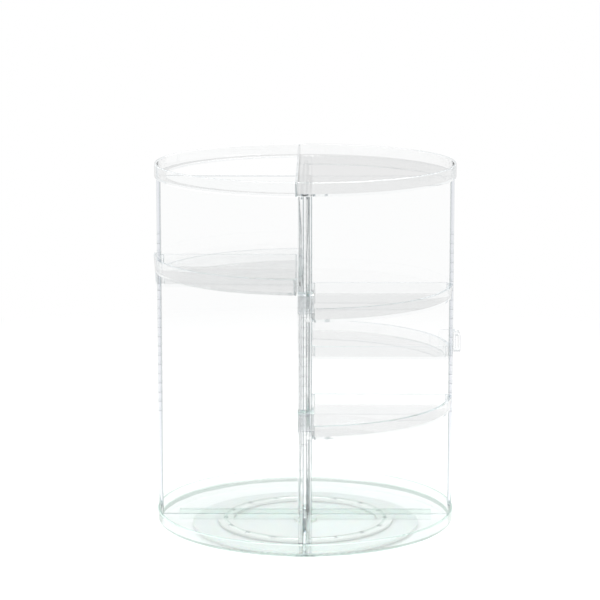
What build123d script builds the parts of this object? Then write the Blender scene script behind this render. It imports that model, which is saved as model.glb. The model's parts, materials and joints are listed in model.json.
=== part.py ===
from build123d import *
import math
import os

# Rotating make-up organizer: a turntable tower of clear trays on four upright panels.
# Millimetres. +Z up, the origin on the table under the turning axis, the front towards -Y.

# ---- table to base tray -------------------------------------------------------------------
base_lift = 6.0            # table to the underside of the base tray
base_overhang = 1.2        # base tray beyond the panels' outer faces
base_floor = 2.4
base_rim_height = 10.0     # underside to the top of the rim
base_rim_wall = 2.4
base_edge_round = 3.2      # the rounded lower edge
rim_round = 0.6            # rounding of the moulded rims

# ---- foot, pads and pivot -----------------------------------------------------------------
foot_radius = 88.0
foot_clear = 1.0           # table to the underside of the foot disc
foot_thickness = 2.4
foot_edge_round = 0.8
foot_boss_radius = 9.0
foot_boss_height = 2.2
pad_count = 6
pad_radius = 8.0
pad_inset = 14.0           # edge of the foot disc to the middle of a pad
pad_pocket = 0.6           # how far a pad sits inside the disc
screw_radius = 2.0
screw_head_radius = 4.5
screw_head_height = 1.3
screw_length = 15.0        # under the head
screw_drive_width = 1.0
screw_drive_span = 5.0
screw_drive_depth = 0.7
washer_radius = 5.2
washer_thickness = 0.5
head_pocket_radius = 6.2
head_pocket_depth = 2.0
bush_wall = 1.45
running_fit = 0.05         # a shaft in its bush, a ball in its race
loose_fit = 0.1            # a screw in a hole that it only passes

# ---- ball race ----------------------------------------------------------------------------
ball_count = 16
ball_radius = 1.95
race_radius = 62.0
cage_thickness = 1.6
cage_width = 12.0
cage_hole_fit = 0.2

# ---- upright panels and column ------------------------------------------------------------
tower_height = 266.6       # length of the panels and the column
web_thickness = 2.4
tower_radius = 113.8       # axis to the flat outer face of a panel's flange
flange_thickness = 3.0
flange_width = 9.6
flange_round = 0.8
column_half = 4.8
column_chamfer = 0.8
groove_depth = 2.0
panel_fit = 0.1            # a panel's edge in a groove
socket_fit = 0.15          # a panel between its socket ribs
socket_rib = 1.2
socket_height = 4.0
socket_gap = 12.8          # end of the socket ribs to the flange

# ---- height ladder ------------------------------------------------------------------------
level_pitch = 7.3          # one step of a tray
level_zero = 95.0          # underside of a tray at level 0
level_count = 20
levels_below_count = 2     # levels under level 0
slot_width = 4.8
slot_height = 2.3
slot_above_tray = 12.0     # middle of the slot that a tray at that level catches in

# ---- trays --------------------------------------------------------------------------------
tray_floor = 2.0
tray_wall = 1.8
side_gap = 0.5             # tray to web, and tray to column
flange_gap = 0.4           # tray to flange
corner_round = 0.8
shelf_setback = 1.4        # foot of a shelf tray's rim inside the flanges' outer faces
shelf_rim = 10.0
deep_overhang = 1.6        # foot of a deep tray's rim beyond them
deep_rim = 11.5
deep_drop = 1.5            # a deep tray hangs this much lower at the same level
rim_flare = 0.8            # outward lean of a rim, bottom to top
band_tuck = 1.1            # how far the leaning band reaches into the wall behind it
band_fit = 0.1             # extra room between that band and a flange's corners
band_gap = 0.6             # flange clearance to the end of the band, along the rim

# ---- latch tab of a shelf tray ------------------------------------------------------------
tab_bottom = 7.5           # above the underside of the tray
tab_top = 23.0
tab_depth = 5.4
tab_inset = 0.1            # tab's free side from the flange's far edge
tab_wall = 1.65
tab_round = 3.6
tab_window_height = 10.6
cheek_wall = 1.8
cheek_length = 9.4

# ---- top tray -----------------------------------------------------------------------------
top_overhang = 1.4         # top ring beyond the panels' outer faces
top_wall = 2.0
top_floor = 2.0
top_height = 10.5
ledge_width = 8.2          # the ring's inner ledge over the open half
floor_edge = 6.5           # how far the floor reaches past the axis into the open half
partition_wall = 1.6
partition_drop = 0.8       # partition below the top of the rim

# ---- worked out from the sizes above ------------------------------------------------------
base_radius = tower_radius + base_overhang
base_top = base_lift + base_floor                  # top of the base tray's floor
rim_top = base_lift + base_rim_height
tower_top = base_top + tower_height               # underside of the top tray
foot_top = foot_clear + foot_thickness
race_height = (foot_top + base_lift) / 2           # middle of the balls
race_groove = ball_radius + running_fit
half_web = web_thickness / 2
flange_inner = tower_radius - flange_thickness
socket_reach = flange_inner - socket_gap
shelf_radius = tower_radius - shelf_setback
deep_radius = tower_radius + deep_overhang
top_radius = tower_radius + top_overhang
ledge_inner = top_radius - ledge_width
pad_circle = foot_radius - pad_inset
half_flange = flange_width / 2
past_flange = half_flange + flange_gap             # sideways, where a tray may pass a flange
inset = half_web + side_gap                        # a tray's side face from the panel's middle
notch = column_half + side_gap                     # a tray's inner corner from the axis
head_seat = foot_clear + head_pocket_depth         # ceiling of the pocket for the screw's head
bush_radius = screw_radius + running_fit + bush_wall
washer_top = head_seat - running_fit
head_top = washer_top - washer_thickness
ladder_low = level_zero - levels_below_count * level_pitch + slot_above_tray
ladder_high = ladder_low + (level_count - 1) * level_pitch

os.makedirs("parts", exist_ok=True)


def radial_face(angle):
    """Upright plane through the axis: its x points outwards at this angle, its y is up."""
    a = math.radians(angle)
    return Plane(origin=(0, 0, 0), x_dir=(math.cos(a), math.sin(a), 0), z_dir=(math.sin(a), -math.cos(a), 0))


def outward_face(angle, radius):
    """Upright plane square to the radius: its z points outwards, its y is up."""
    a = math.radians(angle)
    outward = (math.cos(a), math.sin(a), 0)
    return Plane(
        origin=(radius * outward[0], radius * outward[1], 0),
        x_dir=(-math.sin(a), math.cos(a), 0),
        z_dir=outward,
    )


def level_plane(angle, height):
    """Flat plane at a height, turned so that its x points along a panel."""
    a = math.radians(angle)
    return Plane(origin=(0, 0, height), x_dir=(math.cos(a), math.sin(a), 0), z_dir=(0, 0, 1))


# ---- foot ---------------------------------------------------------------------------------
with BuildPart(Plane.XY) as anti_slip_pads:
    with BuildSketch(Plane.XY):
        with PolarLocations(pad_circle, pad_count):
            Circle(pad_radius)
    extrude(amount=foot_clear + pad_pocket)
    chamfer(anti_slip_pads.edges().group_by(Axis.Z)[0], 0.3)
anti_slip_pads.part.label = "anti_slip_pads"
export_step(anti_slip_pads.part, "parts/anti_slip_pads.step")

with BuildPart() as foot_disc:
    with BuildSketch(Plane.XY.offset(foot_clear)):
        Circle(foot_radius)
    extrude(amount=foot_thickness)
    fillet(foot_disc.edges().filter_by(GeomType.CIRCLE), foot_edge_round)
    with BuildSketch(Plane.XY.offset(foot_top)):
        Circle(foot_boss_radius)
    extrude(amount=foot_boss_height)
    with BuildSketch(Plane.XY.offset(foot_clear)):
        with PolarLocations(pad_circle, pad_count):
            Circle(pad_radius)
    extrude(amount=pad_pocket, mode=Mode.SUBTRACT)
    with BuildSketch(Plane.XY.offset(foot_clear)):
        Circle(head_pocket_radius)
    extrude(amount=head_pocket_depth, mode=Mode.SUBTRACT)
    with BuildSketch(Plane.XY.offset(foot_clear)):
        Circle(bush_radius)
    extrude(amount=foot_thickness + foot_boss_height, mode=Mode.SUBTRACT)
    with BuildSketch(Plane.XZ):
        with Locations((race_radius, race_height)):
            Circle(race_groove)
    revolve(axis=Axis.Z, mode=Mode.SUBTRACT)
foot_disc.part.label = "foot_disc"
export_step(foot_disc.part, "parts/foot_disc.step")

with BuildPart() as pivot_bush:
    with BuildSketch(Plane.XY.offset(head_seat)):
        Circle(bush_radius)
        Circle(screw_radius + running_fit, mode=Mode.SUBTRACT)
    extrude(amount=foot_top + foot_boss_height - head_seat)
pivot_bush.part.label = "pivot_bush"
export_step(pivot_bush.part, "parts/pivot_bush.step")

with BuildPart() as pivot_washer:
    with BuildSketch(Plane.XY.offset(head_top)):
        Circle(washer_radius)
        Circle(screw_radius + loose_fit, mode=Mode.SUBTRACT)
    extrude(amount=washer_thickness)
pivot_washer.part.label = "pivot_washer"
export_step(pivot_washer.part, "parts/pivot_washer.step")

with BuildPart() as pivot_screw:
    with BuildSketch(Plane.XY.offset(head_top)):
        Circle(screw_head_radius)
    extrude(amount=-screw_head_height)
    fillet(pivot_screw.edges().group_by(Axis.Z)[0], screw_head_height * 0.4)
    with BuildSketch(Plane.XY.offset(head_top)):
        Circle(screw_radius)
    extrude(amount=screw_length)
    chamfer(pivot_screw.edges().group_by(Axis.Z)[-1], screw_radius * 0.3)
    with BuildSketch(Plane.XY.offset(head_top - screw_head_height)):
        Rectangle(screw_drive_span, screw_drive_width)
        Rectangle(screw_drive_width, screw_drive_span)
    extrude(amount=screw_drive_depth, mode=Mode.SUBTRACT)
pivot_screw.part.label = "pivot_screw"
export_step(pivot_screw.part, "parts/pivot_screw.step")

# ---- ball race ----------------------------------------------------------------------------
with BuildPart() as ball_cage:
    with BuildSketch(Plane.XY.offset(race_height - cage_thickness / 2)):
        Circle(race_radius + cage_width / 2)
        Circle(race_radius - cage_width / 2, mode=Mode.SUBTRACT)
        with PolarLocations(race_radius, ball_count):
            Circle(ball_radius + cage_hole_fit, mode=Mode.SUBTRACT)
    extrude(amount=cage_thickness)
ball_cage.part.label = "ball_cage"
export_step(ball_cage.part, "parts/ball_cage.step")

with BuildPart(Plane.XY.offset(race_height)) as bearing_balls:
    with PolarLocations(race_radius, ball_count):
        Sphere(ball_radius)
bearing_balls.part.label = "bearing_balls"
export_step(bearing_balls.part, "parts/bearing_balls.step")


def draw_sockets(angles):
    """Draws the ribs that hold the panels' edges, and the corners that hold the column's end."""
    collar = column_half + socket_fit + socket_rib
    reach = socket_reach - collar
    beside = half_web + socket_fit + socket_rib / 2
    Rectangle(2 * collar, 2 * collar)
    Rectangle(2 * (column_half + socket_fit), 2 * (column_half + socket_fit), mode=Mode.SUBTRACT)
    for angle in (0, 90):
        Rectangle(2 * collar, 2 * (half_web + socket_fit), rotation=angle, mode=Mode.SUBTRACT)
    for angle in angles:
        a = math.radians(angle)
        for side in (beside, -beside):
            middle = collar + reach / 2
            spot = (middle * math.cos(a) - side * math.sin(a), middle * math.sin(a) + side * math.cos(a))
            with Locations(spot):
                Rectangle(reach, socket_rib, rotation=angle)


# ---- base tray ----------------------------------------------------------------------------
with BuildPart() as base_tray:
    with BuildSketch(Plane.XZ) as dish:
        with BuildLine():
            Polyline(
                (0, base_lift),
                (base_radius, base_lift),
                (base_radius, rim_top),
                (base_radius - base_rim_wall, rim_top),
                (base_radius - base_rim_wall, base_top),
                (0, base_top),
                close=True,
            )
        make_face()
        fillet(dish.vertices().group_by(Axis.Y)[-1], rim_round)
        fillet(dish.vertices().group_by(Axis.Y)[0].sort_by(Axis.X)[-1], base_edge_round)
    revolve(axis=Axis.Z)
    with BuildSketch(Plane.XY.offset(base_top)):
        draw_sockets((0, 90, 180, 270))
    extrude(amount=socket_height)
    with BuildSketch(Plane.XY.offset(base_lift)):
        Circle(screw_radius + loose_fit)
    extrude(amount=base_floor, mode=Mode.SUBTRACT)
    with BuildSketch(Plane.XZ):
        with Locations((race_radius, race_height)):
            Circle(race_groove)
    revolve(axis=Axis.Z, mode=Mode.SUBTRACT)
base_tray.part.label = "base_tray"
export_step(base_tray.part, "parts/base_tray.step")

# ---- column -------------------------------------------------------------------------------
with BuildPart() as centre_column:
    with BuildSketch(Plane.XY.offset(base_top)) as section:
        Rectangle(2 * column_half, 2 * column_half)
        chamfer(section.vertices(), column_chamfer)
        with PolarLocations(column_half - groove_depth / 2, 4):
            Rectangle(groove_depth, web_thickness + 2 * panel_fit, mode=Mode.SUBTRACT)
    extrude(amount=tower_top - base_top)
    with BuildSketch(Plane.XY.offset(base_top)):
        Circle(screw_radius)
    extrude(amount=screw_length, mode=Mode.SUBTRACT)
centre_column.part.label = "centre_column"
export_step(centre_column.part, "parts/centre_column.step")

# ---- upright panels -----------------------------------------------------------------------
panel_inner = column_half - groove_depth + panel_fit
panel_angles = {"panel_right": 0, "panel_back": 90, "panel_left": 180, "panel_front": 270}
for name, angle in panel_angles.items():
    with BuildPart() as panel:
        with BuildSketch(radial_face(angle)):
            with Locations((panel_inner, base_top)):
                Rectangle(flange_inner - panel_inner, tower_top - base_top, align=(Align.MIN, Align.MIN))
        extrude(amount=half_web, both=True)
        with BuildSketch(radial_face(angle)):
            with Locations((flange_inner, rim_top)):
                Rectangle(flange_thickness, tower_top - rim_top, align=(Align.MIN, Align.MIN))
        extrude(amount=half_flange, both=True)
        outer = outward_face(angle, tower_radius)
        front_face = panel.faces().sort_by(Axis(outer.origin, outer.z_dir))[-1]
        fillet(front_face.edges().filter_by(Axis.Z), flange_round)
        with BuildSketch(outer):
            with Locations((0, (ladder_low + ladder_high) / 2)):
                with GridLocations(1, level_pitch, 1, level_count):
                    Rectangle(slot_width, slot_height)
        extrude(amount=-flange_thickness, mode=Mode.SUBTRACT)
    panel.part.label = name
    export_step(panel.part, f"parts/{name}.step")


def draw_quarter(radius, wall):
    """Draws a tray's outline between two panels, moved inwards by a wall."""
    reach = radius - wall
    tongue = flange_inner - flange_gap - wall      # the side walls end behind the flanges
    Circle(reach)
    with Locations((inset + wall, inset + wall)):
        Rectangle(reach, reach, align=(Align.MIN, Align.MIN), mode=Mode.INTERSECT)
    with Locations((tongue, 0)):
        Rectangle(reach, past_flange + wall, align=(Align.MIN, Align.MIN), mode=Mode.SUBTRACT)
    with Locations((0, tongue)):
        Rectangle(past_flange + wall, reach, align=(Align.MIN, Align.MIN), mode=Mode.SUBTRACT)
    Rectangle(notch + wall, notch + wall, align=(Align.MIN, Align.MIN), mode=Mode.SUBTRACT)


# ---- shelf trays, with a latch tab --------------------------------------------------------
shelf_trays = {
    "tray_front_right_lower": (270, 0),
    "tray_front_right_upper": (270, 12),
    "tray_back_right": (0, 5),
}
tab_inner = tower_radius + flange_gap
tab_outer = tab_inner + tab_depth
band_turn = math.degrees(math.asin((past_flange + band_gap) / shelf_radius))
for name, (angle, level) in shelf_trays.items():
    underside = level_zero + level * level_pitch
    with BuildPart() as tray:
        with BuildSketch(level_plane(angle, underside)) as outline:
            draw_quarter(shelf_radius, 0)
            fillet(outline.vertices(), corner_round)
        extrude(amount=shelf_rim)
        with BuildSketch(level_plane(angle, underside + tray_floor)) as pocket:
            draw_quarter(shelf_radius, tray_wall)
            fillet(pocket.vertices(), corner_round)
        extrude(amount=shelf_rim - tray_floor, mode=Mode.SUBTRACT)
        with BuildSketch(radial_face(angle + band_turn)):
            with BuildLine():
                Polyline(
                    (shelf_radius - band_tuck, underside),
                    (shelf_radius, underside),
                    (shelf_radius + rim_flare, underside + shelf_rim),
                    (shelf_radius - band_tuck, underside + shelf_rim),
                    close=True,
                )
            make_face()
        revolve(axis=Axis.Z, revolution_arc=90 - 2 * band_turn)
        # the cheek rises beside the flange and carries the tab in front of it
        cheek = radial_face(angle).offset(-past_flange)
        with BuildSketch(cheek) as side:
            with Locations((shelf_radius - cheek_length, underside)):
                Rectangle(cheek_length, tab_top, align=(Align.MIN, Align.MIN))
            with Locations((shelf_radius, underside + tab_bottom)):
                Rectangle(tab_outer - shelf_radius, tab_top - tab_bottom, align=(Align.MIN, Align.MIN))
            fillet(side.vertices().group_by(Axis.Y)[-1], tab_round)
        extrude(amount=-cheek_wall)
        with BuildSketch(cheek) as front:
            with Locations((tab_inner, underside + tab_bottom)):
                Rectangle(tab_depth, tab_top - tab_bottom, align=(Align.MIN, Align.MIN))
            fillet(front.vertices().group_by(Axis.Y)[-1].sort_by(Axis.X)[-1], tab_round)
        extrude(amount=past_flange + half_flange - tab_inset)
        with BuildSketch(cheek):
            with Locations((tab_inner + tab_wall, underside + tab_bottom + tab_wall)):
                Rectangle(tab_depth - 2 * tab_wall, tab_window_height, align=(Align.MIN, Align.MIN))
        extrude(amount=flange_width + cheek_wall, both=True, mode=Mode.SUBTRACT)
    tray.part.label = name
    export_step(tray.part, f"parts/{name}.step")

# ---- deep trays, whose band passes outside a panel ----------------------------------------
deep_trays = {
    "tray_front_left": (180, 15),
    "tray_back_left": (90, 13),
}
band_inner = tower_radius + flange_gap + band_fit
wrap_start = -math.degrees(math.asin((half_flange - tab_inset) / deep_radius))
stop_turn = math.degrees(math.asin((past_flange + band_gap) / deep_radius))
for name, (angle, level) in deep_trays.items():
    underside = level_zero + level * level_pitch - deep_drop
    with BuildPart() as tray:
        with BuildSketch(level_plane(angle, underside)) as outline:
            draw_quarter(deep_radius, 0)
            fillet(outline.vertices(), corner_round)
        extrude(amount=deep_rim)
        with BuildSketch(level_plane(angle, underside + tray_floor)) as pocket:
            draw_quarter(deep_radius, tray_wall)
            fillet(pocket.vertices(), corner_round)
        extrude(amount=deep_rim - tray_floor, mode=Mode.SUBTRACT)
        with BuildSketch(radial_face(angle + wrap_start)):
            with BuildLine():
                Polyline(
                    (band_inner, underside),
                    (deep_radius, underside),
                    (deep_radius + rim_flare, underside + deep_rim),
                    (band_inner, underside + deep_rim),
                    close=True,
                )
            make_face()
        revolve(axis=Axis.Z, revolution_arc=90 - stop_turn - wrap_start)
    tray.part.label = name
    export_step(tray.part, f"parts/{name}.step")

# ---- top tray -----------------------------------------------------------------------------
with BuildPart() as top_tray:
    with BuildSketch(Plane.XZ) as ring:
        with BuildLine():
            Polyline(
                (ledge_inner, tower_top),
                (top_radius, tower_top),
                (top_radius, tower_top + top_height),
                (top_radius - top_wall, tower_top + top_height),
                (top_radius - top_wall, tower_top + top_floor),
                (ledge_inner, tower_top + top_floor),
                close=True,
            )
        make_face()
        fillet(ring.vertices().group_by(Axis.Y)[-1], rim_round)
        fillet(ring.vertices().group_by(Axis.Y)[0].sort_by(Axis.X)[-1], rim_round)
    revolve(axis=Axis.Z)
    with BuildSketch(Plane.XY.offset(tower_top)):
        Circle(top_radius - top_wall)
        with Locations((-floor_edge, 0)):
            Rectangle(2 * top_radius, 2 * top_radius, align=(Align.MIN, Align.CENTER), mode=Mode.INTERSECT)
    extrude(amount=top_floor)
    with BuildSketch(Plane.XY.offset(tower_top)):
        Circle(top_radius - top_wall)
        with Locations((-floor_edge, 0)):
            Rectangle(partition_wall, 2 * top_radius, align=(Align.MIN, Align.CENTER), mode=Mode.INTERSECT)
    extrude(amount=top_height - partition_drop)
    with BuildSketch(Plane.XY.offset(tower_top)):
        draw_sockets((0, 90, 270))
    extrude(amount=-socket_height)
top_tray.part.label = "top_tray"
export_step(top_tray.part, "parts/top_tray.step")
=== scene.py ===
# %% [markdown]
# # A rotating make-up organizer in clear plastic
#
# The object is a turntable tower. Four clear panels stand in a cross on a round base
# tray, quarter trays hang between them at different heights, and a ring-shaped tray
# closes the top. Nearly all of it is clear moulded plastic, so this lesson is about
# one thing above all: how to make clear plastic readable on a white table.

import bpy
import bmesh
import json
import math
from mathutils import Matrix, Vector


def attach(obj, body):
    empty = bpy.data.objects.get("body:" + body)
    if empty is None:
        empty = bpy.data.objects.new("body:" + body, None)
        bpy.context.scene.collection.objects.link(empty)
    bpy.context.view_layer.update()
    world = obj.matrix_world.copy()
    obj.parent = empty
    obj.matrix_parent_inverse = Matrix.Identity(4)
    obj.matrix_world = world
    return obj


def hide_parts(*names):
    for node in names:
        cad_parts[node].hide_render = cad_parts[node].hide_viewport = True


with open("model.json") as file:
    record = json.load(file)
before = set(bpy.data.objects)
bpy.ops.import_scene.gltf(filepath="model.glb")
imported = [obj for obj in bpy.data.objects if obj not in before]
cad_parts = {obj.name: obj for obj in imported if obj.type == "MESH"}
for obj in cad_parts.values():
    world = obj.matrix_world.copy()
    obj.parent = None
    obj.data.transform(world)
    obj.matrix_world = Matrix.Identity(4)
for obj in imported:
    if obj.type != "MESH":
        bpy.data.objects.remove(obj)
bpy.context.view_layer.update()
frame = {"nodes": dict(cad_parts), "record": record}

# %% [markdown]
# ## The camera
#
# The photograph looks down on the tower from about ten degrees, from far away and with
# a long lens, so that the uprights stay almost parallel. The camera is pitched, not
# shifted, because a shifted lens would push the object out of the frame in any other view.

# %% Camera
LENS = 154.3                    # millimetres
SENSOR_WIDTH = 36.0             # millimetres
CAMERA_SPOT = Vector((0.0140, -1.9473, 0.5393))
CAMERA_AIM = Vector((-0.0041, 0.0, 0.1784))


def look_from(spot, aim):
    """The turn of a camera or lamp that stands at one point and faces another."""
    return (Vector(aim) - Vector(spot)).to_track_quat("-Z", "Y").to_euler()


bpy.ops.object.camera_add(location=CAMERA_SPOT)
camera = bpy.context.object
camera.name = "camera"
camera.data.lens = LENS
camera.data.sensor_width = SENSOR_WIDTH
camera.rotation_euler = look_from(CAMERA_SPOT, CAMERA_AIM)
bpy.context.scene.camera = camera
bpy.context.scene.view_settings.view_transform = "Standard"
print("camera distance:", round((CAMERA_AIM - CAMERA_SPOT).length, 3), "m")

# %% [markdown]
# ## Helpers for materials
#
# A finish starts from one Principled shader. A number that is the same all over is set
# straight on its socket, and only what really varies gets nodes. What varies here is
# noise: it makes the gloss uneven and the surface wavy, as on any moulding. Noise hardly
# ever reaches 0 or 1, so the ramp spreads its middle band over the whole of a range.

# %% Helpers for finishes
NOISE_LOW = 0.3                 # the band in which nearly all of the noise lies
NOISE_HIGH = 0.7


def new_finish(name):
    """An empty material with a Principled shader, and its node tree."""
    mat = bpy.data.materials.new(name)
    mat.use_nodes = True
    print("finish:", name)
    return mat, mat.node_tree, mat.node_tree.nodes["Principled BSDF"]


def settings(shader, **values):
    """Sets sockets by name, with underscores for spaces."""
    for key, value in values.items():
        shader.inputs[key.replace("_", " ")].default_value = value


def show(tree, surface):
    """Makes a shader the one that the material shows."""
    tree.links.new(surface, tree.nodes["Material Output"].inputs["Surface"])


# %% Helpers for patterns
def noise(tree, scale, detail):
    """Noise on the object's own coordinates, with a number of patches per metre."""
    place = tree.nodes.new("ShaderNodeTexCoord")
    pattern = tree.nodes.new("ShaderNodeTexNoise")
    settings(pattern, Scale=scale, Detail=detail)
    tree.links.new(place.outputs["Object"], pattern.inputs["Vector"])
    return pattern.outputs["Fac"]


def ramp(tree, source, low, high, start=NOISE_LOW, stop=NOISE_HIGH):
    """Spreads a pattern over a range of numbers."""
    spread = tree.nodes.new("ShaderNodeMapRange")
    settings(spread, From_Min=start, From_Max=stop, To_Min=low, To_Max=high)
    tree.links.new(source, spread.inputs["Value"])
    return spread.outputs["Result"]


def bump(tree, source, height):
    """Turns a pattern into relief of a real height."""
    relief = tree.nodes.new("ShaderNodeBump")
    settings(relief, Strength=1.0, Distance=height)
    tree.links.new(source, relief.inputs["Height"])
    return relief.outputs["Normal"]


# %% Helpers that combine
def math_node(tree, operation, first, second):
    """One step of arithmetic on sockets or numbers, kept between 0 and 1."""
    step = tree.nodes.new("ShaderNodeMath")
    step.operation = operation
    step.use_clamp = True
    for socket, value in zip(step.inputs, (first, second)):
        if isinstance(value, float):
            socket.default_value = value
        else:
            tree.links.new(value, socket)
    return step.outputs[0]


def mix_shaders(tree, share, first, second):
    """Mixes two shaders; a share of 1 shows the second alone."""
    both = tree.nodes.new("ShaderNodeMixShader")
    for socket, source in zip(both.inputs, (share, first, second)):
        tree.links.new(source, socket)
    return both.outputs["Shader"]


# %% [markdown]
# ## A see-through face
#
# The two faces of a flat clear wall are parallel, so what is behind them is hardly
# displaced: one sees through, with a faint mirror image that grows at a flat angle. A
# glass shader could do it, but each bend uses up one of the few bounces that a render
# follows. A transparent shader mixed with a glossy one by Fresnel says nearly the same
# and keeps the view through many layers clean. The mirror is put on the outside of a
# face only, and is made stronger there, because the second face mirrors too.

# %% See-through face
PLASTIC_IOR = 1.58              # clear polystyrene
TWO_FACES = 1.7                 # the mirror of a face and of the one behind it
SMEAR_DETAIL = 3.0
WAVE_DETAIL = 1.0
MIRROR_SMEARS = 40.0            # patches per metre
MIRROR_WAVES = 14.0
MIRROR_WAVE_HEIGHT = 0.00005
MIRROR_ROUGHNESS = (0.02, 0.07)


def slant(tree):
    """How much a bare face of this plastic mirrors, by the angle of view."""
    fresnel = tree.nodes.new("ShaderNodeFresnel")
    settings(fresnel, IOR=PLASTIC_IOR)
    return fresnel.outputs["Fac"]


def see_through(tree, colour):
    """Lets light straight through, with a mirror image on the outside of the face."""
    clear = tree.nodes.new("ShaderNodeBsdfTransparent")
    settings(clear, Color=(*colour, 1.0))
    mirror = tree.nodes.new("ShaderNodeBsdfGlossy")
    smears = ramp(tree, noise(tree, MIRROR_SMEARS, SMEAR_DETAIL), *MIRROR_ROUGHNESS)
    waves = bump(tree, noise(tree, MIRROR_WAVES, WAVE_DETAIL), MIRROR_WAVE_HEIGHT)
    tree.links.new(smears, mirror.inputs["Roughness"])
    tree.links.new(waves, mirror.inputs["Normal"])
    face = tree.nodes.new("ShaderNodeNewGeometry")
    outside = math_node(tree, "SUBTRACT", 1.0, face.outputs["Backfacing"])
    both_faces = math_node(tree, "MULTIPLY", slant(tree), TWO_FACES)
    share = math_node(tree, "MULTIPLY", both_faces, outside)
    return mix_shaders(tree, share, clear.outputs["BSDF"], mirror.outputs["BSDF"])


# %% [markdown]
# ## Clear plastic
#
# The walls are clear polystyrene. It bends light more than window glass does, and it
# takes a little colour from light that runs a long way inside it, along a wall and out
# at its edge. That is why the faces look empty and the edges look grey. A volume shader
# could do that, but with several finishes on one piece it left slots and edges dark
# grey here. So that grey is painted into each face's colour instead, as painted shade:
# almost none on a wall, a dark one on a rounded edge. At a flat angle light would be
# trapped inside the wall and come out black, so there the finish turns into the
# see-through face, whose grey colour is painted shade too.

# %% Clear plastic
WALL_SMEARS = 55.0              # patches per metre
WALL_WAVES = 16.0
WALL_WAVE_HEIGHT = 0.00004
LEAST_SMEAR = 0.4               # shares of a finish's roughness
MOST_SMEAR = 1.6
BENDS_UP_TO = 0.35              # share of mirror up to which a face bends light
STRAIGHT_FROM = 0.7             # share from which it only lets light straight through
SHADOW_TINT = (0.93, 0.945, 0.945)


def clear_finish(name, tint_and_painted_shade, flat_angle_painted_shade, rough=0.03):
    """Clear plastic that bends light, with moulding waves and a light shadow."""
    mat, tree, shader = new_finish(name)
    # The base colour is the plastic's faint tint on a wall, and painted shade on edges, lips, rail
    # sides and the latch tab.
    settings(shader, Base_Color=(*tint_and_painted_shade, 1.0), IOR=PLASTIC_IOR, Transmission_Weight=1.0)
    smears = noise(tree, WALL_SMEARS, SMEAR_DETAIL)
    gloss = ramp(tree, smears, rough * LEAST_SMEAR, rough * MOST_SMEAR)
    waves = bump(tree, noise(tree, WALL_WAVES, WAVE_DETAIL), WALL_WAVE_HEIGHT)
    tree.links.new(gloss, shader.inputs["Roughness"])
    tree.links.new(waves, shader.inputs["Normal"])
    flat_angle = ramp(tree, slant(tree), 0.0, 1.0, BENDS_UP_TO, STRAIGHT_FROM)
    # At a flat angle the see-through colour is painted shade, for light lost inside the wall.
    bent = mix_shaders(tree, flat_angle, shader.outputs["BSDF"], see_through(tree, flat_angle_painted_shade))
    shade = tree.nodes.new("ShaderNodeBsdfTransparent")
    settings(shade, Color=(*SHADOW_TINT, 1.0))
    rays = tree.nodes.new("ShaderNodeLightPath")
    show(tree, mix_shaders(tree, rays.outputs["Is Shadow Ray"], bent, shade.outputs["BSDF"]))
    return mat


# %% [markdown]
# ## The clear finishes
#
# Each has a colour for light that it bends, one for light that goes straight through at
# a flat angle, and a roughness. The panels and trays are cool grey, the base is
# greener. The colours that walls and base bend light with are their faint tint; every
# other colour here is painted shade, for light lost inside the plastic. Rounded edges
# get the darkest painted shade, since they are all that marks the outline of a clear
# thing. The narrow level lips of the rims get a painted shade between that of an edge
# and a wall.

# %% Clear finishes
EDGE_ROUGHNESS = 0.12
RAIL_ROUGHNESS = 0.08
LIP_ROUGHNESS = 0.06

clear_walls = clear_finish("clear_walls", (0.975, 0.98, 0.98), (0.82, 0.85, 0.86))
clear_base = clear_finish("clear_base", (0.95, 0.98, 0.965), (0.76, 0.83, 0.80))
# From here on the colours are painted shade: edges, rail sides, latch tab, lips and the rounding under
# the base.
edge_walls_painted_shade = clear_finish("edge_walls_painted_shade", (0.16, 0.19, 0.20), (0.18, 0.21, 0.22), EDGE_ROUGHNESS)
edge_base_painted_shade = clear_finish("edge_base_painted_shade", (0.16, 0.23, 0.21), (0.18, 0.25, 0.23), EDGE_ROUGHNESS)
rail_sides_painted_shade = clear_finish("rail_sides_painted_shade", (0.76, 0.78, 0.82), (0.70, 0.73, 0.76), RAIL_ROUGHNESS)
rail_edges_painted_shade = clear_finish("rail_edges_painted_shade", (0.45, 0.49, 0.51), (0.50, 0.54, 0.56), EDGE_ROUGHNESS)
latch_tab_painted_shade = clear_finish("latch_tab_painted_shade", (0.93, 0.94, 0.945), (0.78, 0.80, 0.81), LIP_ROUGHNESS)
rim_lip_painted_shade = clear_finish("rim_lip_painted_shade", (0.50, 0.54, 0.56), (0.45, 0.49, 0.51), LIP_ROUGHNESS)
base_lip_painted_shade = clear_finish("base_lip_painted_shade", (0.50, 0.58, 0.55), (0.45, 0.53, 0.50), LIP_ROUGHNESS)
base_turn_painted_shade = clear_finish("base_turn_painted_shade", (0.58, 0.68, 0.64), (0.50, 0.60, 0.56), LIP_ROUGHNESS)

# %% [markdown]
# ## Panes
#
# The floors of the trays, the floor of the base and the walls of the height slots are
# flat, and one looks through many of them in a row. They get the see-through face alone
# and don't bend light. The webs of the panels do bend it.


# %% Panes
def pane_finish(name, colour):
    """A flat clear face: see-through, with a Fresnel mirror on its outside."""
    mat, tree, shader = new_finish(name)
    tree.nodes.remove(shader)
    show(tree, see_through(tree, colour))
    return mat


panel_pane = pane_finish("panel_pane", (0.985, 0.99, 0.99))
floor_pane = pane_finish("floor_pane", (0.98, 0.985, 0.985))
base_pane = pane_finish("base_pane", (0.965, 0.985, 0.98))

# %% [markdown]
# ## Which face gets which finish
#
# A piece has a list of finishes, and a face is given a place in that list by where it
# lies and which way it faces. That could be picked by hand in edit mode, but a rule is
# shorter, and one rule serves several pieces.

# %% Places in a list of finishes
WALL = 0
EDGE = 1
PANE = 2
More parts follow.
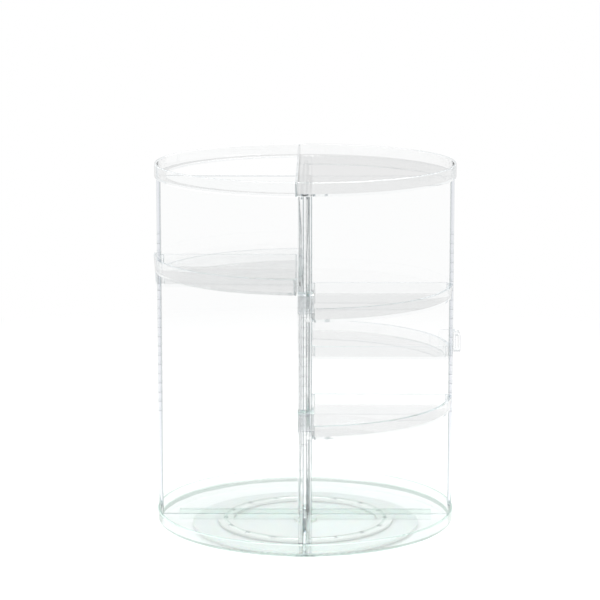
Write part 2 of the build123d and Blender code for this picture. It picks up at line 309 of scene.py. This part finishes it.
# The fourth place holds a finish with painted shade.
PAINTED_SHADE = 3
LIP = 4

SQUARE_ON = 0.99                # a face looks squarely along a direction above this cosine
FLOOR_AREA = 0.002              # square metres; a level face above this is a floor


def wall_everywhere(face):
    """The first finish on every face."""
    return WALL


def floor_or_wall(face):
    """Large level faces become panes, narrow ones are lips, everything else bends light."""
    if abs(face.normal.z) < SQUARE_ON:
        return WALL
    return PANE if face.area > FLOOR_AREA else LIP


# %% [markdown]
# ## Rounding the moulded pieces
#
# Injection-moulded plastic has no sharp edge. Each rounded edge bends light into a thin
# bright or dark line, and those lines are nearly all one sees of a clear tray. The
# frame's nodes have the right shape but knife-sharp edges and flat facets, so each is
# copied, merged into one skin, cleared of needless edges, bevelled and shaded smooth. A
# last modifier weights the normals by the size of the faces. Without it the roundings
# bend the shading of the large walls too, and draw grey patches on them.

# %% Selecting
def deselect():
    """Leaves edit mode and drops every selection."""
    if bpy.context.mode != "OBJECT":
        bpy.ops.object.mode_set(mode="OBJECT")
    bpy.ops.object.select_all(action="DESELECT")


def select(piece):
    """Makes one piece the only selected and active one."""
    deselect()
    piece.select_set(True)
    bpy.context.view_layer.objects.active = piece


# %% Copying a node as one skin
MERGE_WITHIN = 0.000002         # metres between corners that are one corner
FLAT_WITHIN = math.radians(0.5)


def clean_copy(node, finishes):
    """A copy of a frame node with its corners merged and its needless edges gone."""
    source = frame["nodes"][node]
    piece = bpy.data.objects.new(node + "_moulded", source.data.copy())
    bpy.context.scene.collection.objects.link(piece)
    piece.data.materials.clear()
    for finish in finishes:
        piece.data.materials.append(finish)
    if "custom_normal" in piece.data.attributes:
        piece.data.attributes.remove(piece.data.attributes["custom_normal"])
    select(piece)
    bpy.ops.object.mode_set(mode="EDIT")
    bpy.ops.mesh.select_all(action="SELECT")
    bpy.ops.mesh.remove_doubles(threshold=MERGE_WITHIN)
    bpy.ops.mesh.dissolve_limited(angle_limit=FLAT_WITHIN)
    bpy.ops.object.mode_set(mode="OBJECT")
    return piece


# %% Rounding its edges
EDGE_WIDTH = 0.001              # metres, for an edge of softness 1
BEVEL_STEPS = 3
SHARP = math.radians(35)        # an edge that turns more than this is rounded
USUAL_SOFTNESS = 0.4


def soft_everywhere(middle):
    """The same rounding on every sharp edge."""
    return USUAL_SOFTNESS


def round_edges(piece, width, softness):
    """Bevels each sharp edge by its own share of a width."""
    mesh = bmesh.new()
    mesh.from_mesh(piece.data)
    layer = mesh.edges.layers.float.new("bevel_weight_edge")
    for line in mesh.edges:
        if line.calc_face_angle(0.0) > SHARP:
            line[layer] = softness((line.verts[0].co + line.verts[1].co) / 2)
    mesh.to_mesh(piece.data)
    mesh.free()
    bevel = piece.modifiers.new("edges", "BEVEL")
    bevel.width = width
    bevel.segments = BEVEL_STEPS
    bevel.limit_method = "WEIGHT"
    # The roundings take the edge finish, whose dark colour is painted shade.
    bevel.material = EDGE
    bpy.ops.object.modifier_apply(modifier="edges")


# %% Shading it smooth
SMOOTH_UNDER = math.radians(32)


def shade_smooth(piece):
    """Smooth over the roundings, and flat on the large faces."""
    bpy.ops.object.shade_smooth_by_angle(angle=SMOOTH_UNDER)
    flat = piece.modifiers.new("flat_faces", "WEIGHTED_NORMAL")
    flat.mode = "FACE_AREA"
    flat.keep_sharp = True
    bpy.ops.object.modifier_apply(modifier="flat_faces")


# %% The rounded copy
def rounded_copy(node, body, finishes, edge=EDGE_WIDTH, place_finish=wall_everywhere,
                 softness=soft_everywhere):
    """A smooth, bevelled copy of a frame node that takes its place."""
    piece = clean_copy(node, finishes)
    for face in piece.data.polygons:
        face.material_index = place_finish(face)
    if edge > 0:
        round_edges(piece, edge, softness)
    shade_smooth(piece)
    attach(piece, body)
    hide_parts(node)
    print(node, "->", len(piece.data.polygons), "faces")
    return piece


# %% [markdown]
# ## Trays, top and column
#
# The top tray is a ring with a floor in its right half. The two deep trays on the left
# grip a rail with their own band, and the three shelf trays with a latch tab in front of
# it, which is the only part of them that lies outside the rails. A radius is therefore
# enough to find the tab. These pieces cast no shadow, because light goes through the
# real ones, and a stack of them would leave the foot in the dark.

# %% Trays, top and column
TAB_INNER = 0.1138              # radius outside which a shelf tray has only its latch tab


def distance_from_axis(face):
    """How far a face lies from the axis of the turntable."""
    return math.hypot(face.center.x, face.center.y)


def shelf_finish(face):
    """Panes for level faces, painted shade for the latch tab outside the rail."""
    return PAINTED_SHADE if distance_from_axis(face) > TAB_INNER else floor_or_wall(face)


body_of_node = {n: b for b, members in frame["record"]["behaviour"]["bodies"].items() for n in members}
tray_finishes = [clear_walls, edge_walls_painted_shade, floor_pane, latch_tab_painted_shade, rim_lip_painted_shade]
finish_rule = {
    "centre_column": floor_or_wall,
    "top_tray": floor_or_wall,
    "tray_front_left": floor_or_wall,
    "tray_back_left": floor_or_wall,
    "tray_front_right_upper": shelf_finish,
    "tray_front_right_lower": shelf_finish,
    "tray_back_right": shelf_finish,
}
for node, rule in finish_rule.items():
    tray = rounded_copy(node, body_of_node[node], tray_finishes, place_finish=rule)
    tray.visible_shadow = False

# %% [markdown]
# ## The base tray
#
# The base is a little thicker than the trays and greener, and its underside turns up
# into the rim in a rounding. That rounding is picked out by its height, its radius and
# its slope, and gets a darker painted shade. The base keeps its shadow, which sets the
# tower on the table.

# %% Base tray
BASE_TURN_TOP = 0.0092          # height at which the rounding under the base ends
BASE_TURN_INNER = 0.1110        # radius at which it starts


def base_finish(face):
    """Painted shade where the underside of the base turns up into its rim."""
    turning = face.center.z < BASE_TURN_TOP and -SQUARE_ON < face.normal.z < 0.0
    if turning and distance_from_axis(face) > BASE_TURN_INNER:
        return PAINTED_SHADE
    return floor_or_wall(face)


base_finishes = [clear_base, edge_base_painted_shade, base_pane, base_turn_painted_shade, base_lip_painted_shade]
rounded_copy("base_tray", body_of_node["base_tray"], base_finishes,
             place_finish=base_finish)

# %% [markdown]
# ## The four panels
#
# Each panel is a thin web with a rail along its outer edge. The rail is wider than it is
# thick, and its two narrow sides are the strips that one sees from the front at the left
# and right of the tower, so they get a slightly darker finish than the rest, which is
# painted shade. One rule serves all four panels, because it measures along the direction
# that a panel faces.

# %% Where a point lies on a panel
RAIL_INNER = 0.1108             # radius of the rail's inner face
SLOT_HALF = 0.0025              # half the width of a height slot, and a hair more
HAIR = 0.0001
SLOT_WALL_TURN = 0.5            # a slot's walls face outwards less than this
PANEL_FACING = {
    "panel_right": Vector((1, 0, 0)),
    "panel_back": Vector((0, 1, 0)),
    "panel_left": Vector((-1, 0, 0)),
    "panel_front": Vector((0, -1, 0)),
}


def across(outward):
    """The direction across a panel that faces outward."""
    return Vector((0, 0, 1)).cross(outward)


def rail_place(point, outward):
    """How far out a point lies, and how far from the panel's middle."""
    return point.dot(outward), abs(point.dot(across(outward)))


# %% Panels
def panel_finish(face, outward):
    """Slot walls are panes, the rail's narrow sides get painted shade, the rest bends light."""
    radius, side = rail_place(face.center, outward)
    if radius <= RAIL_INNER:
        return WALL
    if side < SLOT_HALF and abs(face.normal.dot(outward)) < SLOT_WALL_TURN:
        return PANE
    return PAINTED_SHADE if abs(face.normal.dot(across(outward))) > SQUARE_ON else WALL


def panel_softness(middle, outward):
    """Slots stay crisp, the edges of the groove behind the rail are rounded most."""
    radius, side = rail_place(middle, outward)
    if side < SLOT_HALF and radius > RAIL_INNER - HAIR:
        return 0.0
    return 1.0 if side > SLOT_HALF and radius < RAIL_INNER + HAIR else USUAL_SOFTNESS


panel_finishes = [clear_walls, rail_edges_painted_shade, panel_pane, rail_sides_painted_shade]
for node, outward in PANEL_FACING.items():
    panel = rounded_copy(node, body_of_node[node], panel_finishes,
                         place_finish=lambda face: panel_finish(face, outward),
                         softness=lambda middle: panel_softness(middle, outward))
    panel.visible_shadow = False

# %% [markdown]
# ## Plain finishes under the turntable
#
# The foot, its pads, the ball race and the screw are seen only from below or through
# the base, and the photograph hides them. They get the finishes that such parts usually
# have: milky plastic, soft rubber, plain plastic and zinc-plated steel, each with a fine
# grain. Facets would show most on the wide foot and on the balls, so these are copied
# and shaded smooth. The others keep the frame's own mesh.

# %% Foot, pads and race
GRAIN_DETAIL = 4.0
GRAIN_ROUGHNESS = 0.08          # how far the grain moves the roughness up and down


def plain_finish(name, colour, rough, grain, height, **more):
    """A moulded or metal surface with a fine grain in gloss and relief."""
    mat, tree, shader = new_finish(name)
    settings(shader, Base_Color=(*colour, 1.0), **more)
    pattern = noise(tree, grain, GRAIN_DETAIL)
    gloss = ramp(tree, pattern, rough - GRAIN_ROUGHNESS, rough + GRAIN_ROUGHNESS)
    tree.links.new(gloss, shader.inputs["Roughness"])
    tree.links.new(bump(tree, pattern, height), shader.inputs["Normal"])
    return mat


milky_plastic = plain_finish("milky_plastic", (0.80, 0.83, 0.82), rough=0.38, grain=900.0,
                             height=0.00001, Subsurface_Weight=0.25, Subsurface_Scale=0.003)
soft_pad = plain_finish("soft_pad", (0.70, 0.72, 0.72), rough=0.55, grain=1500.0, height=0.00002)
race_plastic = plain_finish("race_plastic", (0.78, 0.79, 0.77), rough=0.45, grain=700.0, height=0.00001)
zinc_steel = plain_finish("zinc_steel", (0.62, 0.63, 0.65), rough=0.28, grain=2500.0, height=0.000004,
                          Metallic=1.0)

# %% Giving them to the pieces
finish_of = {
    "foot_disc": milky_plastic,
    "anti_slip_pads": soft_pad,
    "pivot_bush": race_plastic,
    "ball_cage": race_plastic,
    "bearing_balls": zinc_steel,
    "pivot_screw": zinc_steel,
    "pivot_washer": zinc_steel,
}
slot_of_round = {"foot_disc": "foot_plastic", "bearing_balls": "steel"}
for node, finish in finish_of.items():
    if node in slot_of_round:
        rounded_copy(node, body_of_node[node], [finish], edge=0.0)
        continue
    piece = frame["nodes"][node]
    piece.data.materials.clear()
    piece.data.materials.append(finish)
    print(node, "has", finish.name)

# %% [markdown]
# ## The table
#
# The photograph's ground is plain white. A brighter lamp would make it so, but would
# bleach the object too. So the table has a pale grey colour that takes the light and the
# shadow, and a glow that only an eye sees, straight or through glass or in a mirror.
# Near the foot it keeps its soft shadow. Further away it fades into an even white.

# %% Table
TABLE_SIZE = 60.0
TABLE_DROP = 0.0002             # keeps its face clear of the undersides of the pads
TABLE_GREY = (0.86, 0.86, 0.86)
TABLE_ROUGHNESS = 0.6
TABLE_GLOW = 0.22
SHADOW_RADIUS = 0.25            # metres from the axis; up to here the shadow is full
WHITE_RADIUS = 0.9              # from here on the table is even white


def seen(tree, rays):
    """1 where an eye looks, straight, through glass or in a mirror; 0 for light on things."""
    eye_or_glass = math_node(tree, "MAXIMUM", rays.outputs["Is Camera Ray"],
                             rays.outputs["Is Transmission Ray"])
    return math_node(tree, "MAXIMUM", eye_or_glass, rays.outputs["Is Glossy Ray"])


bpy.ops.mesh.primitive_plane_add(size=TABLE_SIZE, location=(0, 0, -TABLE_DROP))
table = bpy.context.object
table.name = "table"
mat, tree, shader = new_finish("white_table")
settings(shader, Base_Color=(*TABLE_GREY, 1.0), Roughness=TABLE_ROUGHNESS)
looked_at = seen(tree, tree.nodes.new("ShaderNodeLightPath"))

# %% Its glow and its white rim
glow = tree.nodes.new("ShaderNodeEmission")
tree.links.new(math_node(tree, "MULTIPLY", looked_at, TABLE_GLOW), glow.inputs["Strength"])
lit = tree.nodes.new("ShaderNodeAddShader")
tree.links.new(shader.outputs["BSDF"], lit.inputs[0])
tree.links.new(glow.outputs["Emission"], lit.inputs[1])
far_white = tree.nodes.new("ShaderNodeEmission")
tree.links.new(looked_at, far_white.inputs["Strength"])
place = tree.nodes.new("ShaderNodeTexCoord")
away = tree.nodes.new("ShaderNodeVectorMath")
away.operation = "LENGTH"
tree.links.new(place.outputs["Object"], away.inputs[0])
fade = ramp(tree, away.outputs["Value"], 0.0, 1.0, SHADOW_RADIUS, WHITE_RADIUS)
show(tree, mix_shaders(tree, fade, lit.outputs["Shader"], far_white.outputs["Emission"]))
table.data.materials.append(mat)
print("table:", TABLE_SIZE, "m wide, white from", WHITE_RADIUS, "m out")

# %% [markdown]
# ## The world
#
# Clear plastic shows nothing but its surroundings, and in an all-white room its edges
# would vanish. So the world is white to the camera, and has a grey ceiling that only
# bent and mirrored light finds. Light that falls on things comes from a dimmer, even
# world, which keeps pale colours from clipping.

# %% World
WORLD_LIGHT = 0.55              # the world's light on things
CEILING_GREY = 0.40             # the dark ceiling that edges of clear plastic pick up
CEILING_START = 0.45            # how steeply upwards it starts, 0 level and 1 straight up
CEILING_FULL = 0.75             # and where it has its full grey

world = bpy.data.worlds.new("studio")
bpy.context.scene.world = world
world.use_nodes = True
tree = world.node_tree
back = tree.nodes["Background"]
rays = tree.nodes.new("ShaderNodeLightPath")
sky = tree.nodes.new("ShaderNodeTexCoord")
height = tree.nodes.new("ShaderNodeSeparateXYZ")
tree.links.new(sky.outputs["Generated"], height.inputs["Vector"])
ceiling = ramp(tree, height.outputs["Z"], 1.0, CEILING_GREY, CEILING_START, CEILING_FULL)
bent_light = math_node(tree, "MAXIMUM", rays.outputs["Is Camera Ray"], ceiling)
level = tree.nodes.new("ShaderNodeMix")
settings(level, A=WORLD_LIGHT)
tree.links.new(seen(tree, rays), level.inputs["Factor"])
tree.links.new(bent_light, level.inputs["B"])
tree.links.new(level.outputs["Result"], back.inputs["Strength"])
settings(back, Color=(1.0, 1.0, 1.0, 1.0))
print("world:", world.name, "with a ceiling of", CEILING_GREY)

# %% [markdown]
# ## The lamps
#
# A plain soft light comes from large lamps, since a small one would throw hard shadows.
# Three area lamps stand round the tower: a key in front on the left, a weaker fill in
# front on the right, and one behind, so that no side is left without a lamp.

# %% Lamps
LAMP_AIM = (0.0, 0.0, 0.14)


def soft_box(name, spot, size, power):
    """A large square lamp that faces the middle of the tower."""
    bpy.ops.object.light_add(type="AREA", location=spot)
    lamp = bpy.context.object
    lamp.name = name
    lamp.data.size = size
    lamp.data.energy = power
    lamp.rotation_euler = look_from(spot, LAMP_AIM)
    print("lamp:", name, power, "W")


soft_box("key_lamp", spot=(-0.9, -1.0, 1.3), size=0.8, power=16.0)
soft_box("fill_lamp", spot=(1.1, -0.8, 0.9), size=0.9, power=7.0)
soft_box("back_lamp", spot=(0.3, 1.2, 1.2), size=0.9, power=8.0)
